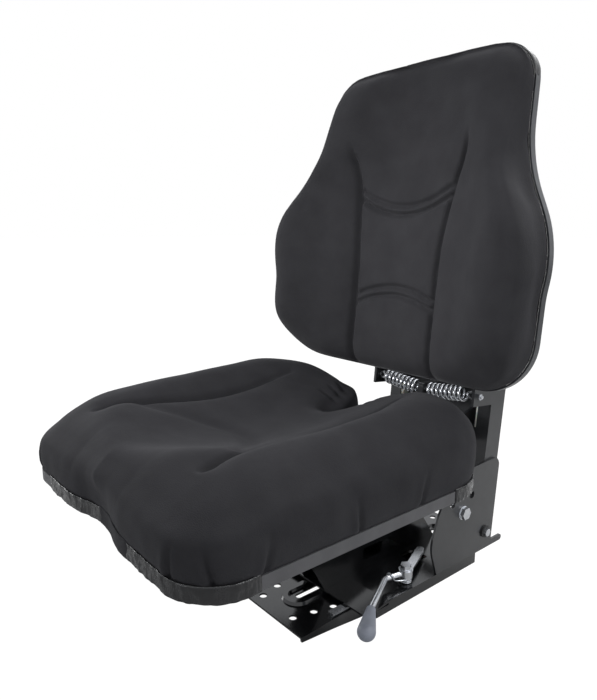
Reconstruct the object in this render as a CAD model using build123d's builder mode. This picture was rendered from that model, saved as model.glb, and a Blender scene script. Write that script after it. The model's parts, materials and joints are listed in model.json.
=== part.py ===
"""Tractor seat: sprung driver's seat on a fore-and-aft slide.

Millimetres. The driver faces -Y, +X is the driver's left, +Z is up. The origin lies on the
mounting surface, under the centre of the base plate's bolt pattern.
"""
import os
from math import asin, atan2, cos, degrees, hypot, pi, radians, sin, sqrt

from build123d import *

os.makedirs("parts", exist_ok=True)

# Sides of the seat as seen by the driver
SIDES = {"left": 1, "right": -1}

# Clearances
running_gap = 0.06      # radial, pivot bolt in lever eye
slide_gap = 0.4         # nylon glides on steel
thread_gap = 0.1        # radial, bolt in its nut
hole_gap = 0.5          # radial, bolt in a plain hole
body_gap = 0.3          # between bodies that meet at a stop or pass close by
cut_over = 1.0          # cuts run this far past an edge
along_limit = 0.9999    # cosine above which two directions count as the same

# Base plate, a pressing with turned-down sides
base_sheet = 3.0
base_height = 17.0
base_length = 474.0
base_foot_half = 86.0
base_corner_half = 83.0
base_waist_half = 80.0
base_corner_run = 17.0
base_waist_run = 78.0
base_rest_length = 240.0
base_end_lift = 10.0
mount_hole = 12.5
mount_rows = ((75.2, 432.0), (92.0, 362.0), (110.0, 296.0))
bead_length = 404.0
bead_width = 52.0
bead_wall = 11.0
bead_height = 5.0
bead_slope = 25.0
slot_length = 356.0
slot_width = 11.0

# Guide rails on the base, of tee section
rail_x = 72.0
rail_length = 340.0
rail_stem = 7.0
rail_stem_height = 2.6
rail_head = 12.0
rail_head_height = 3.0
notch_pitch = 15.0
notch_count = 9
notch_width = 9.0
notch_depth = 5.0

# Slide tray
tray_sheet = 3.0
tray_top = 32.0
tray_half = 118.0
tray_front = -140.0
tray_ridge = -90.0
tray_back = 137.0
tray_lip_drop = 5.5
skirt_front = -117.0
skirt_bottom = 14.0
glide_rows = (-70.0, 84.0)
glide_length = 36.0
glide_wall = 5.0

# Centre tunnel
tunnel_sheet = 2.5
tunnel_half = 26.0
tunnel_top = 85.0
tunnel_back = 135.0
tunnel_front_lean = 33.0
tunnel_back_lean = 37.0
window_length = 46.0
window_height = 22.0
window_centre = (-30.0, 57.0)
window_radius = 4.0

# Side plates
plate_sheet = 4.0
plate_profile = ((27, 0), (9, 52), (33, 118), (116, 166), (197, 168), (183, 11), (217, 11), (217, 0))
plate_radii = (2, 55, 45, 35, 16, 5, 5, 5)
tilt_bolt = (91.0, 124.0)
spare_holes = ((117.0, 148.0), (63.5, 145.0))
foot_bolt = (161.0, 66.0)

# Fasteners
m12 = 12.0
m12_flats = 19.0
m12_head = 7.5
m12_nut = 10.0
m12_washer = 24.0
m12_washer_sheet = 2.5
m10 = 10.0
m10_flats = 16.0
m10_head = 6.4
m10_nut = 8.0
m10_washer = 20.0
m10_washer_sheet = 2.0
m8 = 8.0
m8_flats = 13.0
m8_head = 5.3
m8_nut = 6.5
m6_flats = 10.0
m6_nut = 5.0
bush_flange = 22.0
bush_flange_sheet = 3.0
bush_wall = 2.0
bolt_end = 3.0

# Posts, channels that lean back with the backrest
lean = 5.9
post_sheet = 3.0
post_width = 25.0
post_depth = 40.0
post_below = 28.0
post_above = 520.0
gusset_profile = ((68, 116), (86, 150), (140, 190), (176, 120), (170, 44), (142, 44))
gusset_radius = 14.0
tie_width = 32.0
tie_sheet = 3.0
tie_shelf = 34.0
tie_low = 30.0
head_sheet = 4.0
head_radius = 8.0
buffer_d = 24.0
buffer_x = 45.0
bump_height = 18.0
top_buffer_height = 24.0
buffer_taper = 8.0

# Suspended carriage
suspension_travel = 80.0
carriage_sheet = 4.0
carriage_half = 88.0
carriage_edge = 4.0
carriage_window = (70.0, 76.0)
window_above_anchor = 62.0
window_below_head = 71.0
block_length = 50.0
block_offset = 25.0
standoff_x = 55.0
standoff_width = 40.0
standoff_height = 32.0
standoff_sheet = 3.0
standoff_drops = (104.0, 34.0)

# Suspension springs
spring_wire = 5.0
spring_mean = 23.0
spring_turns = 7
spring_pitch = 10.6
spring_chords = 12
spring_r = -62.0
spring_s = 240.0
spring_slope = 6.0
spring_lead = 7.0
spring_stub = 2.5
wire_sides = 6
anchor_half = 6.0
anchor_height = 26.0
anchor_round = 8.0
eye_wire = 6.0
eye_ring = 14.0
eye_wall = 3.0
eye_sheet = 3.0
bracket_sheet = 5.0
bracket_height = 34.0

# Pan arms
arm_x = 70.0
arm_sheet = 5.0
arm_flange = 40.0
arm_flange_sheet = 3.0
arm_front = -410.0
arm_flange_back = -40.0
arm_depth = 16.0
arm_gusset_height = 60.0
arm_gusset_start = 40.0
pan_bolt_x = 81.0
pan_bolt_rows = (-360.0, -90.0)

# Seat
seat_half = 240.0
seat_front = -497.0
seat_front_middle = -479.0
seat_dip_half = 70.0
seat_back = -10.0
seat_front_radius = 64.0
seat_dip_radius = 150.0
seat_back_radius = 85.0
vee_tip = -138.0
vee_tip_radius = 12.0
vee_half = 40.0
vee_mouth_radius = 46.0
pan_underside = 243.0
pan_sheet = 2.5
pan_depth = 16.0
trim_sheet = 3.0
seat_edge_heights = (314.0, 360.0)
seat_swell = ((97.0, 351.0), (100.0, 369.0))
seat_swell_radii = (150.0, 200.0)
cushion_crown = 42.0
dish_floor = 298.0
dish_ahead = 112.0
dish_across = 267.0
dish_along = 668.0
dish_turn = 50.0
ridge_round = 20.0

# Backrest, drawn in the plane of its edge band
band_r = -144.5
back_bottom = 276.0
back_top = 790.0
back_shoulder = 784.0
back_corners = (
    (249.0, back_bottom),
    (249.0, 424.0),
    (258.0, 498.0),
    (201.0, 618.0),
    (198.0, back_shoulder),
    (0.0, back_top),
)
back_radii = (83.0, 200.0, 190.0, 250.0, 62.0, 1000.0)
band_width = 12.0
band_sheet = 3.0
shell_sheet = 3.0
shell_depth = 62.0
shell_scale = 0.6
back_edge_foam = (40.0, 27.0)
back_swell = ((74.0, 99.0), (249.0, 109.5), (374.0, 62.0))
back_swell_radii = (80.0, 180.0, 200.0)
back_crown = 24.0
lumbar_floor = 19.0
lumbar_radius = 300.0

# Lever
lever_pivot = (98.0, -28.0)
lever_height = 48.0
lever_rod = 10.0
lever_bend = (90.0, -68.0)
lever_neck = (129.0, -141.0)
lever_bend_radius = 16.0
lever_neck_radius = 20.0
knob_axis = (0.6, -0.8)
knob_length = 66.0
knob_neck = 14.0
knob_bulb = 26.5
knob_start = 4.0
knob_hold = 20.0
eye_d = 24.0
rod_weld = 9.0
eye_height = 12.0
finger_width = 8.0
finger_sheet = 5.0
finger_y = 52.0
finger_gap = 1.0
arm_bar_width = 14.0
arm_bar_sheet = 5.0
finger_window = (38.0, 34.0)
finger_window_centre = (53.0, 45.0)
return_wire = 2.5
return_turns = 2
return_leg = 14.0
hook_reach = 32.0
hook_rise = 6.0
spacer_d = 15.0


def hexagon(flats):
    """Hexagon of a bolt head or nut, by its width across flats."""
    return RegularPolygon(flats / 2, 6, major_radius=False)


def coil_points(mean, pitch, turns, chords, start):
    """Helix drawn as straight chords round local Z, from a starting height."""
    return [
        (
            mean / 2 * cos(2 * pi * i / chords),
            mean / 2 * sin(2 * pi * i / chords),
            start + pitch * i / chords,
        )
        for i in range(turns * chords + 1)
    ]


# Base plate
web_under = base_height - base_sheet
base_stations = [base_length / 2 - run for run in (0, base_corner_run, base_waist_run)]


def base_plan(height, halves, inset, overrun):
    """Plan of the base pressing at a height, from its half-widths at three stations."""
    right = [(half - inset, y) for half, y in zip(halves, base_stations)]
    right[0] = (right[0][0], right[0][1] + overrun)
    quarter = [(x, -y) for x, y in right]
    half_plan = quarter + right[::-1]
    with BuildSketch(Plane.XY.offset(height)) as plan:
        with BuildLine():
            Polyline(half_plan + [(-x, y) for x, y in half_plan[::-1]], close=True)
        make_face()
    return plan.sketch


foot_halves = (base_foot_half, base_foot_half, base_foot_half)
web_halves = (base_corner_half, base_corner_half, base_waist_half)
with BuildPart() as base_plate:
    loft([base_plan(0, foot_halves, 0, 0), base_plan(base_height, web_halves, 0, 0)], ruled=True)
    loft(
        [
            base_plan(0, foot_halves, base_sheet, cut_over),
            base_plan(web_under, web_halves, base_sheet, cut_over),
        ],
        ruled=True,
        mode=Mode.SUBTRACT,
    )
    with BuildSketch(Plane.YZ):
        for end in (-1, 1):
            with BuildLine():
                Polyline(
                    (end * base_rest_length / 2, 0),
                    (end * base_length / 2, base_end_lift),
                    (end * base_length / 2, -cut_over),
                    (end * base_rest_length / 2, -cut_over),
                    close=True,
                )
            make_face()
    extrude(amount=base_foot_half + cut_over, both=True, mode=Mode.SUBTRACT)
    with BuildSketch(Plane.XY.offset(base_height)):
        SlotOverall(bead_length, bead_width, rotation=90)
    extrude(amount=bead_height, taper=bead_slope)
    with BuildSketch(Plane.XY.offset(base_height + bead_height)):
        SlotOverall(bead_length - 2 * bead_wall, bead_width - 2 * bead_wall, rotation=90)
    extrude(amount=-bead_height, taper=bead_slope, mode=Mode.SUBTRACT)
    with BuildSketch(Plane.XY.offset(web_under)):
        SlotOverall(slot_length, slot_width, rotation=90)
        for across, along in mount_rows:
            with GridLocations(across, along, 2, 2):
                Circle(mount_hole / 2)
    extrude(amount=base_sheet, mode=Mode.SUBTRACT)
base_plate.part.label = "base_plate"
export_step(base_plate.part, "parts/base_plate.step")

# Guide rails, the left one notched for the latch finger
rail_head_under = base_height + rail_stem_height
rail_head_top = rail_head_under + rail_head_height
finger_x = rail_x - rail_head / 2 - finger_gap - finger_sheet / 2
for name, side in SIDES.items():
    with BuildPart() as guide_rail:
        with BuildSketch(Plane.XY.offset(base_height)):
            with Locations((side * rail_x, 0)):
                Rectangle(rail_stem, rail_length)
        extrude(amount=rail_stem_height)
        with BuildSketch(Plane.XY.offset(rail_head_under)):
            with Locations((side * rail_x, 0)):
                Rectangle(rail_head, rail_length)
            if name == "left":
                with Locations((rail_x - rail_head / 2, finger_y)):
                    with GridLocations(1, notch_pitch, 1, notch_count):
                        Rectangle(2 * notch_depth, notch_width, mode=Mode.SUBTRACT)
        extrude(amount=rail_head_height)
    guide_rail.part.label = f"guide_rail_{name}"
    export_step(guide_rail.part, f"parts/guide_rail_{name}.step")

# Slide tray
tray_under = tray_top - tray_sheet
lip_slope = tray_lip_drop / (tray_ridge - tray_front)
with BuildPart() as slide_tray:
    with BuildSketch(Plane.YZ):
        with BuildLine():
            Polyline(
                (tray_back, tray_top),
                (tray_ridge, tray_top),
                (tray_front, tray_top - tray_lip_drop),
                (tray_front, tray_under - tray_lip_drop),
                (tray_ridge, tray_under),
                (tray_back, tray_under),
                close=True,
            )
        make_face()
    extrude(amount=tray_half, both=True)
    with BuildSketch(Plane.XY.offset(skirt_bottom)):
        for side in SIDES.values():
            with Locations((side * (tray_half - tray_sheet / 2), (skirt_front + tray_back) / 2)):
                Rectangle(tray_sheet, tray_back - skirt_front)
    extrude(amount=tray_under - skirt_bottom - lip_slope * (tray_ridge - skirt_front))
    with BuildSketch(Plane.XY.offset(skirt_bottom)):
        for side in SIDES.values():
            with Locations((side * (tray_half - tray_sheet / 2), (tray_ridge + tray_back) / 2)):
                Rectangle(tray_sheet, tray_back - tray_ridge)
    extrude(amount=tray_under - skirt_bottom)
    with BuildSketch(Plane.XY.offset(tray_under)):
        with Locations(finger_window_centre):
            RectangleRounded(*finger_window, window_radius)
        with Locations(lever_pivot):
            Circle(m10 / 2 + hole_gap)
    extrude(amount=tray_sheet, mode=Mode.SUBTRACT)
slide_tray.part.label = "slide_tray"
export_step(slide_tray.part, "parts/slide_tray.step")

# Nylon glides under the tray, hooked round the heads of the guide rails
glide_width = rail_head + 2 * (slide_gap + glide_wall)
glide_bottom = base_height + slide_gap
with BuildPart() as slide_glides:
    for side in SIDES.values():
        for row in glide_rows:
            with BuildSketch(Plane.XZ.offset(-row + glide_length / 2)):
                with Locations((side * rail_x, 0)):
                    with Locations((0, (glide_bottom + tray_under) / 2)):
                        Rectangle(glide_width, tray_under - glide_bottom)
                    with Locations((0, (rail_head_under + rail_head_top) / 2)):
                        Rectangle(
                            rail_head + 2 * slide_gap,
                            rail_head_height + 2 * slide_gap,
                            mode=Mode.SUBTRACT,
                        )
                    with Locations((0, (glide_bottom + rail_head_under) / 2)):
                        Rectangle(
                            rail_stem + 2 * slide_gap,
                            rail_head_under - glide_bottom,
                            mode=Mode.SUBTRACT,
                        )
            extrude(amount=-glide_length)
slide_glides.part.label = "slide_glides"
export_step(slide_glides.part, "parts/slide_glides.step")

# Centre tunnel, standing on the tray
with BuildPart() as centre_tunnel:
    with BuildSketch(Plane.YZ):
        with BuildLine():
            Polyline(
                (tray_front, tray_top - tray_lip_drop),
                (tray_front - tunnel_front_lean, tunnel_top),
                (tunnel_back - tunnel_back_lean, tunnel_top),
                (tunnel_back, tray_top),
                (tray_ridge, tray_top),
                close=True,
            )
        make_face()
    extrude(amount=tunnel_half, both=True)
    with BuildSketch(Plane.XZ.offset(-tunnel_back)):
        with Locations((0, (tunnel_top - tunnel_sheet) / 2)):
            Rectangle(2 * (tunnel_half - tunnel_sheet), tunnel_top - tunnel_sheet)
    extrude(amount=tunnel_back - tray_front + tunnel_front_lean, mode=Mode.SUBTRACT)
    with BuildSketch(Plane.YZ):
        with Locations(window_centre):
            RectangleRounded(window_length, window_height, window_radius)
    extrude(amount=tunnel_half, both=True, mode=Mode.SUBTRACT)
centre_tunnel.part.label = "centre_tunnel"
export_step(centre_tunnel.part, "parts/centre_tunnel.step")

# Side plates, standing on the tray's edges
plate_inner = tray_half - plate_sheet
bush_d = m8 + 2 * (thread_gap + bush_wall)
for name, side in SIDES.items():
    with BuildPart() as side_plate:
        with BuildSketch(Plane.YZ.offset(side * plate_inner)):
            with BuildLine():
                FilletPolyline(
                    *[(y, tray_top + z) for y, z in plate_profile],
                    radius=plate_radii,
                    close=True,
                )
            make_face()
            with Locations(tilt_bolt, *spare_holes):
                Circle(m12 / 2 + hole_gap, mode=Mode.SUBTRACT)
            with Locations(foot_bolt):
                Circle(bush_d / 2 + thread_gap, mode=Mode.SUBTRACT)
        extrude(amount=side * plate_sheet)
    side_plate.part.label = f"side_plate_{name}"
    export_step(side_plate.part, f"parts/side_plate_{name}.step")

# Posts: channels open inwards, each with a gusset at its foot that takes the tilt bolt
post_plane = Plane(
    origin=(0, *foot_bolt),
    x_dir=(1, 0, 0),
    z_dir=(0, sin(radians(lean)), cos(radians(lean))),
)


def facing(r):
    """Plane that faces forward like the backrest, at a depth behind the posts' centre line."""
    return Plane(
        origin=post_plane.from_local_coords((0, r, 0)),
        x_dir=(1, 0, 0),
        z_dir=-post_plane.y_dir,
    )


post_inner = plate_inner - post_width
post_centre = plate_inner - post_width / 2
post_face = plate_inner - post_sheet
for name, side in SIDES.items():
    with BuildPart() as post:
        with BuildSketch(post_plane.offset(-post_below)):
            with Locations((side * post_centre, 0)):
                Rectangle(post_width, post_depth)
            with Locations((side * (post_centre - post_sheet / 2), 0)):
                Rectangle(post_width - post_sheet, post_depth - 2 * post_sheet, mode=Mode.SUBTRACT)
        extrude(amount=post_below + post_above)
        with BuildSketch(Plane.YZ.offset(side * plate_inner)):
            with BuildLine():
                FilletPolyline(*gusset_profile, radius=gusset_radius, close=True)
            make_face()
        extrude(amount=-side * post_sheet)
        with BuildSketch(Plane.YZ.offset(side * plate_inner)):
            with Locations(tilt_bolt):
                Circle(m12 / 2 + hole_gap)
            with Locations(foot_bolt):
                Circle(m8 / 2 + hole_gap)
        extrude(amount=-side * post_sheet, mode=Mode.SUBTRACT)
    post.part.label = f"post_{name}"
    export_step(post.part, f"parts/post_{name}.step")

# Cross tie between the posts, an angle whose shelf carries the bump stops
tie_top = tie_low + tie_width
with BuildPart() as post_cross_tie:
    with BuildSketch(post_plane.offset(tie_low)):
        with Locations((0, -post_depth / 2 - tie_sheet / 2)):
            Rectangle(2 * (post_face - thread_gap), tie_sheet)
    extrude(amount=tie_width)
    with BuildSketch(post_plane.offset(tie_top)):
        with Locations((0, -post_depth / 2 + tie_shelf / 2)):
            Rectangle(2 * (post_inner - body_gap), tie_shelf)
    extrude(amount=-tie_sheet)
post_cross_tie.part.label = "post_cross_tie"
export_step(post_cross_tie.part, "parts/post_cross_tie.step")

# Head bar that joins the tops of the posts
with BuildPart() as post_head_bar:
    with BuildSketch(post_plane.offset(post_above)):
        RectangleRounded(2 * plate_inner, post_depth, head_radius)
    extrude(amount=head_sheet)
post_head_bar.part.label = "post_head_bar"
export_step(post_head_bar.part, "parts/post_head_bar.step")

# Rubber buffers at both ends of the carriage's travel
bump_top = tie_top + bump_height
carriage_low = bump_top + body_gap + suspension_travel
carriage_high = post_above - top_buffer_height - body_gap
with BuildPart() as bump_stops:
    with BuildSketch(post_plane.offset(tie_top)):
        with GridLocations(2 * buffer_x, 1, 2, 1):
            Circle(buffer_d / 2)
    extrude(amount=bump_height, taper=buffer_taper)
bump_stops.part.label = "bump_stops"
export_step(bump_stops.part, "parts/bump_stops.step")
with BuildPart() as top_buffers:
    with BuildSketch(post_plane.offset(post_above)):
        with GridLocations(2 * buffer_x, 1, 2, 1):
            Circle(buffer_d / 2)
    extrude(amount=-top_buffer_height, taper=buffer_taper)
top_buffers.part.label = "top_buffers"
export_step(top_buffers.part, "parts/top_buffers.step")

# Tilt bolts with their washers and nuts
washer_face = tray_half + m12_washer_sheet
with BuildPart() as tilt_bolts:
    for side in SIDES.values():
        with BuildSketch(Plane.YZ.offset(side * washer_face)):
            with Locations(tilt_bolt):
                hexagon(m12_flats)
        extrude(amount=side * m12_head)
        with BuildSketch(Plane.YZ.offset(side * washer_face)):
            with Locations(tilt_bolt):
                Circle(m12 / 2)
        extrude(amount=-side * (washer_face - post_face + m12_nut + bolt_end))
tilt_bolts.part.label = "tilt_bolts"
export_step(tilt_bolts.part, "parts/tilt_bolts.step")
with BuildPart() as tilt_washers:
    for side in SIDES.values():
        with BuildSketch(Plane.YZ.offset(side * tray_half)):
            with Locations(tilt_bolt):
                Circle(m12_washer / 2)
                Circle(m12 / 2 + thread_gap, mode=Mode.SUBTRACT)
        extrude(amount=side * m12_washer_sheet)
tilt_washers.part.label = "tilt_washers"
export_step(tilt_washers.part, "parts/tilt_washers.step")
with BuildPart() as tilt_nuts:
    for side in SIDES.values():
        with BuildSketch(Plane.YZ.offset(side * post_face)):
            with Locations(tilt_bolt):
                hexagon(m12_flats)
                Circle(m12 / 2 + thread_gap, mode=Mode.SUBTRACT)
        extrude(amount=-side * m12_nut)
tilt_nuts.part.label = "tilt_nuts"
export_step(tilt_nuts.part, "parts/tilt_nuts.step")

# Foot bolts that turn in flanged bushes in the side plates
bush_face = tray_half + bush_flange_sheet
with BuildPart() as foot_bushes:
    for side in SIDES.values():
        with BuildSketch(Plane.YZ.offset(side * tray_half)):
            with Locations(foot_bolt):
                Circle(bush_flange / 2)
        extrude(amount=side * bush_flange_sheet)
        with BuildSketch(Plane.YZ.offset(side * tray_half)):
            with Locations(foot_bolt):
                Circle(bush_d / 2)
        extrude(amount=-side * plate_sheet)
        with BuildSketch(Plane.YZ.offset(side * bush_face)):
            with Locations(foot_bolt):
                Circle(m8 / 2 + thread_gap)
        extrude(amount=-side * (plate_sheet + bush_flange_sheet), mode=Mode.SUBTRACT)
foot_bushes.part.label = "foot_bushes"
export_step(foot_bushes.part, "parts/foot_bushes.step")
with BuildPart() as foot_bolts:
    for side in SIDES.values():
        with BuildSketch(Plane.YZ.offset(side * bush_face)):
            with Locations(foot_bolt):
                hexagon(m8_flats)
        extrude(amount=side * m8_head)
        with BuildSketch(Plane.YZ.offset(side * bush_face)):
            with Locations(foot_bolt):
                Circle(m8 / 2)
        extrude(amount=-side * (bush_face - post_face + m8_nut + bolt_end))
foot_bolts.part.label = "foot_bolts"
export_step(foot_bolts.part, "parts/foot_bolts.step")
with BuildPart() as foot_nuts:
    for side in SIDES.values():
        with BuildSketch(Plane.YZ.offset(side * post_face)):
            with Locations(foot_bolt):
                hexagon(m8_flats)
                Circle(m8 / 2 + thread_gap, mode=Mode.SUBTRACT)
        extrude(amount=-side * m8_nut)
foot_nuts.part.label = "foot_nuts"
export_step(foot_nuts.part, "parts/foot_nuts.step")

# Carriage plate that runs between the posts
window_rows = (spring_s + window_above_anchor + anchor_height / 2, carriage_high - window_below_head)
with BuildPart() as carriage_plate:
    with BuildSketch(post_plane.offset(carriage_low)):
        Rectangle(2 * carriage_half, carriage_sheet)
    extrude(amount=carriage_high - carriage_low)
    with BuildSketch(facing(0)):
        with Locations(*[(0, s) for s in window_rows]):
            RectangleRounded(*carriage_window, window_radius)
    extrude(amount=carriage_sheet, both=True, mode=Mode.SUBTRACT)
carriage_plate.part.label = "carriage_plate"
export_step(carriage_plate.part, "parts/carriage_plate.step")

# Nylon blocks on the carriage's edges, running inside the posts
block_inner = carriage_half - carriage_edge
block_outer = post_face - slide_gap
block_depth = post_depth - 2 * post_sheet - 2 * slide_gap
block_rows = (carriage_low + block_offset, carriage_high - block_offset - block_length)
with BuildPart() as post_glides:
    for side in SIDES.values():
        for row in block_rows:
            with BuildSketch(post_plane.offset(row)):
                with Locations((side * (block_inner + block_outer) / 2, 0)):
                    Rectangle(block_outer - block_inner, block_depth)
                with Locations((side * (block_inner + carriage_edge / 2), 0)):
                    Rectangle(carriage_edge, carriage_sheet, mode=Mode.SUBTRACT)
            extrude(amount=block_length)
post_glides.part.label = "post_glides"
export_step(post_glides.part, "parts/post_glides.step")

# Stand-offs that carry the backrest shell on the carriage
shell_r = band_r + shell_depth
standoff_depth = -carriage_sheet / 2 - shell_r
standoff_rows = [carriage_high - drop for drop in standoff_drops]
standoff_places = [(side * standoff_x, s) for s in standoff_rows for side in SIDES.values()]
with BuildPart() as back_standoffs:
    for x, s in standoff_places:
        with BuildSketch(post_plane.offset(s)):
            with Locations((x, shell_r + standoff_depth / 2)):
                Rectangle(standoff_width, standoff_depth)
                Rectangle(
                    standoff_width - 2 * standoff_sheet,
                    standoff_depth - 2 * standoff_sheet,
                    mode=Mode.SUBTRACT,
                )
        extrude(amount=standoff_height)
    with BuildSketch(facing(shell_r)):
        with Locations(*[(x, s + standoff_height / 2) for x, s in standoff_places]):
            Circle(m8 / 2 + hole_gap)
    extrude(amount=-standoff_sheet, mode=Mode.SUBTRACT)
back_standoffs.part.label = "back_standoffs"
export_step(back_standoffs.part, "parts/back_standoffs.step")

# Spring anchor at the middle of the carriage
anchor_front = spring_r - spring_mean / 2
with BuildPart() as spring_anchor:
    with BuildSketch(post_plane.offset(spring_s - anchor_height / 2)):
        with Locations((0, (anchor_front - carriage_sheet / 2) / 2)):
            Rectangle(2 * anchor_half, -carriage_sheet / 2 - anchor_front)
    extrude(amount=anchor_height)
    fillet(spring_anchor.edges().filter_by(Axis.X).sort_by(Axis.Y)[:2], anchor_round)
spring_anchor.part.label = "spring_anchor"
export_step(spring_anchor.part, "parts/spring_anchor.step")

# Spring brackets on the fronts of the posts, with eye bolts and nuts
spring_run = spring_turns * spring_pitch
spring_length = spring_run + 2 * spring_lead
rise = sin(radians(spring_slope))
reach = cos(radians(spring_slope))
eye_x = anchor_half + body_gap + spring_length * reach + eye_ring / 2 + thread_gap
eye_s = spring_s + spring_length * rise
eye_centre = post_plane.from_local_coords((0, spring_r, eye_s))
eye_face = Plane(origin=eye_centre, x_dir=(1, 0, 0), z_dir=-post_plane.y_dir)
eye_axis = Plane(origin=eye_centre, x_dir=(0, 1, 0), z_dir=(1, 0, 0))
wing_centre = (plate_inner - bracket_sheet / 2, (anchor_front - post_depth / 2) / 2)
for name, side in SIDES.items():
    with BuildPart() as spring_bracket:
        with BuildSketch(post_plane.offset(eye_s - bracket_height / 2)):
            with Locations((side * post_centre, -post_depth / 2 - bracket_sheet / 2)):
                Rectangle(post_width, bracket_sheet)
            with Locations((side * wing_centre[0], wing_centre[1])):
                Rectangle(bracket_sheet, -post_depth / 2 - anchor_front)
        extrude(amount=bracket_height)
        with BuildSketch(eye_axis.offset(side * plate_inner)):
            Circle(eye_wire / 2 + hole_gap)
        extrude(amount=-side * bracket_sheet, mode=Mode.SUBTRACT)
    spring_bracket.part.label = f"spring_bracket_{name}"
    export_step(spring_bracket.part, f"parts/spring_bracket_{name}.step")

shank_start = eye_x + eye_ring / 2 - eye_wall / 2
with BuildPart() as eye_bolts:
    for side in SIDES.values():
        with BuildSketch(eye_face):
            with Locations((side * eye_x, 0)):
                Circle(eye_ring / 2)
                Circle(eye_ring / 2 - eye_wall, mode=Mode.SUBTRACT)
        extrude(amount=eye_sheet / 2, both=True)
        with BuildSketch(eye_axis.offset(side * shank_start)):
            Circle(eye_wire / 2)
        extrude(amount=side * (plate_inner + m6_nut + bolt_end - shank_start))
eye_bolts.part.label = "eye_bolts"
export_step(eye_bolts.part, "parts/eye_bolts.step")
with BuildPart() as eye_nuts:
    for side in SIDES.values():
        with BuildSketch(eye_axis.offset(side * plate_inner)):
            hexagon(m6_flats)
            Circle(eye_wire / 2 + thread_gap, mode=Mode.SUBTRACT)
        extrude(amount=side * m6_nut)
eye_nuts.part.label = "eye_nuts"
export_step(eye_nuts.part, "parts/eye_nuts.step")

# Suspension springs between the anchor and the eye bolts
for name, side in SIDES.items():
    coil_plane = Plane(
        origin=post_plane.from_local_coords((side * (anchor_half + body_gap), spring_r, spring_s)),
        x_dir=post_plane.y_dir,
        z_dir=post_plane.x_dir * side * reach + post_plane.z_dir * rise,
    )
    with BuildPart() as suspension_spring:
        with BuildLine(coil_plane) as wire:
            Polyline(
                (0, 0, 0),
                (0, 0, spring_stub),
                *coil_points(spring_mean, spring_pitch, spring_turns, spring_chords, spring_lead),
                (0, 0, spring_length - spring_stub),
                (0, 0, spring_length),
            )
        with BuildSketch(Plane(origin=wire.line @ 0, z_dir=wire.line % 0)):
            RegularPolygon(spring_wire / 2, wire_sides)
        sweep(transition=Transition.RIGHT)
    suspension_spring.part.label = f"suspension_spring_{name}"
    export_step(suspension_spring.part, f"parts/suspension_spring_{name}.step")

# Arms that carry the seat pan forward from the carriage
arm_rear = [
    post_plane.from_local_coords((0, -carriage_sheet / 2, s))
    for s in (carriage_low, carriage_low + arm_gusset_height)
]
arm_flange_middle = (arm_front + arm_flange_back) / 2
for name, side in SIDES.items():
    with BuildPart() as pan_arm:
        with BuildSketch(Plane.YZ.offset(side * arm_x)):
            with BuildLine():
                Polyline(
                    (arm_front, pan_underside),
                    (arm_front, pan_underside - arm_depth),
                    (arm_gusset_start, pan_underside - arm_depth),
                    *[(p.Y, p.Z) for p in arm_rear],
                    (arm_gusset_start, pan_underside),
                    close=True,
                )
            make_face()
        extrude(amount=arm_sheet / 2, both=True)
        with BuildSketch(Plane.XY.offset(pan_underside)):
            with Locations((side * arm_x, arm_flange_middle)):
                Rectangle(arm_flange, arm_flange_back - arm_front)
            with Locations(*[(side * pan_bolt_x, y) for y in pan_bolt_rows]):
                Circle(m8 / 2 + hole_gap, mode=Mode.SUBTRACT)
        extrude(amount=-arm_flange_sheet)
    pan_arm.part.label = f"pan_arm_{name}"
    export_step(pan_arm.part, f"parts/pan_arm_{name}.step")

# Seat pan, trim and cushion share one plan
seat_corners = (
    (0, vee_tip),
    (vee_half, seat_back),
    (seat_half, seat_back),
    (seat_half, seat_front),
    (seat_dip_half, seat_front),
    (0, seat_front_middle),
    (-seat_dip_half, seat_front),
    (-seat_half, seat_front),
    (-seat_half, seat_back),
    (-vee_half, seat_back),
)
seat_radii = (
    vee_tip_radius,
    vee_mouth_radius,
    seat_back_radius,
    seat_front_radius,
    seat_dip_radius,
    seat_dip_radius,
    seat_dip_radius,
    seat_front_radius,
    seat_back_radius,
    vee_mouth_radius,
)


def seat_plan(height, inset):
    """Plan of the seat at a height, drawn in from its outer edge by an inset."""
    with BuildSketch(Plane.XY.offset(height)) as plan:
        with BuildLine():
            FilletPolyline(*seat_corners, radius=seat_radii, close=True)
        make_face()
        if inset:
            offset(amount=-inset, mode=Mode.REPLACE)
    return plan.sketch


pan_floor = pan_underside + pan_sheet
pan_rim = pan_underside + pan_depth
pan_bolt_places = [(side * pan_bolt_x, y) for y in pan_bolt_rows for side in SIDES.values()]
with BuildPart() as seat_pan:
    extrude(seat_plan(pan_underside, trim_sheet), amount=pan_depth)
    extrude(seat_plan(pan_floor, trim_sheet + pan_sheet), amount=pan_depth, mode=Mode.SUBTRACT)
    with BuildSketch(Plane.XY.offset(pan_underside)):
        with Locations(*pan_bolt_places):
            Circle(m8 / 2 + thread_gap)
    extrude(amount=pan_sheet, mode=Mode.SUBTRACT)
seat_pan.part.label = "seat_pan"
export_step(seat_pan.part, "parts/seat_pan.step")
with BuildPart() as seat_edge_trim:
    extrude(seat_plan(pan_underside, 0), amount=pan_depth)
    extrude(seat_plan(pan_underside, trim_sheet), amount=pan_depth, mode=Mode.SUBTRACT)
seat_edge_trim.part.label = "seat_edge_trim"
export_step(seat_edge_trim.part, "parts/seat_edge_trim.step")
with BuildPart() as pan_bolts:
    with BuildSketch(Plane.XY.offset(pan_underside - arm_flange_sheet)):
        with Locations(*pan_bolt_places):
            hexagon(m8_flats)
    extrude(amount=-m8_head)
    with BuildSketch(Plane.XY.offset(pan_underside - arm_flange_sheet)):
        with Locations(*pan_bolt_places):
            Circle(m8 / 2)
    extrude(amount=arm_flange_sheet + pan_sheet)
pan_bolts.part.label = "pan_bolts"
export_step(pan_bolts.part, "parts/pan_bolts.step")


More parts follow.
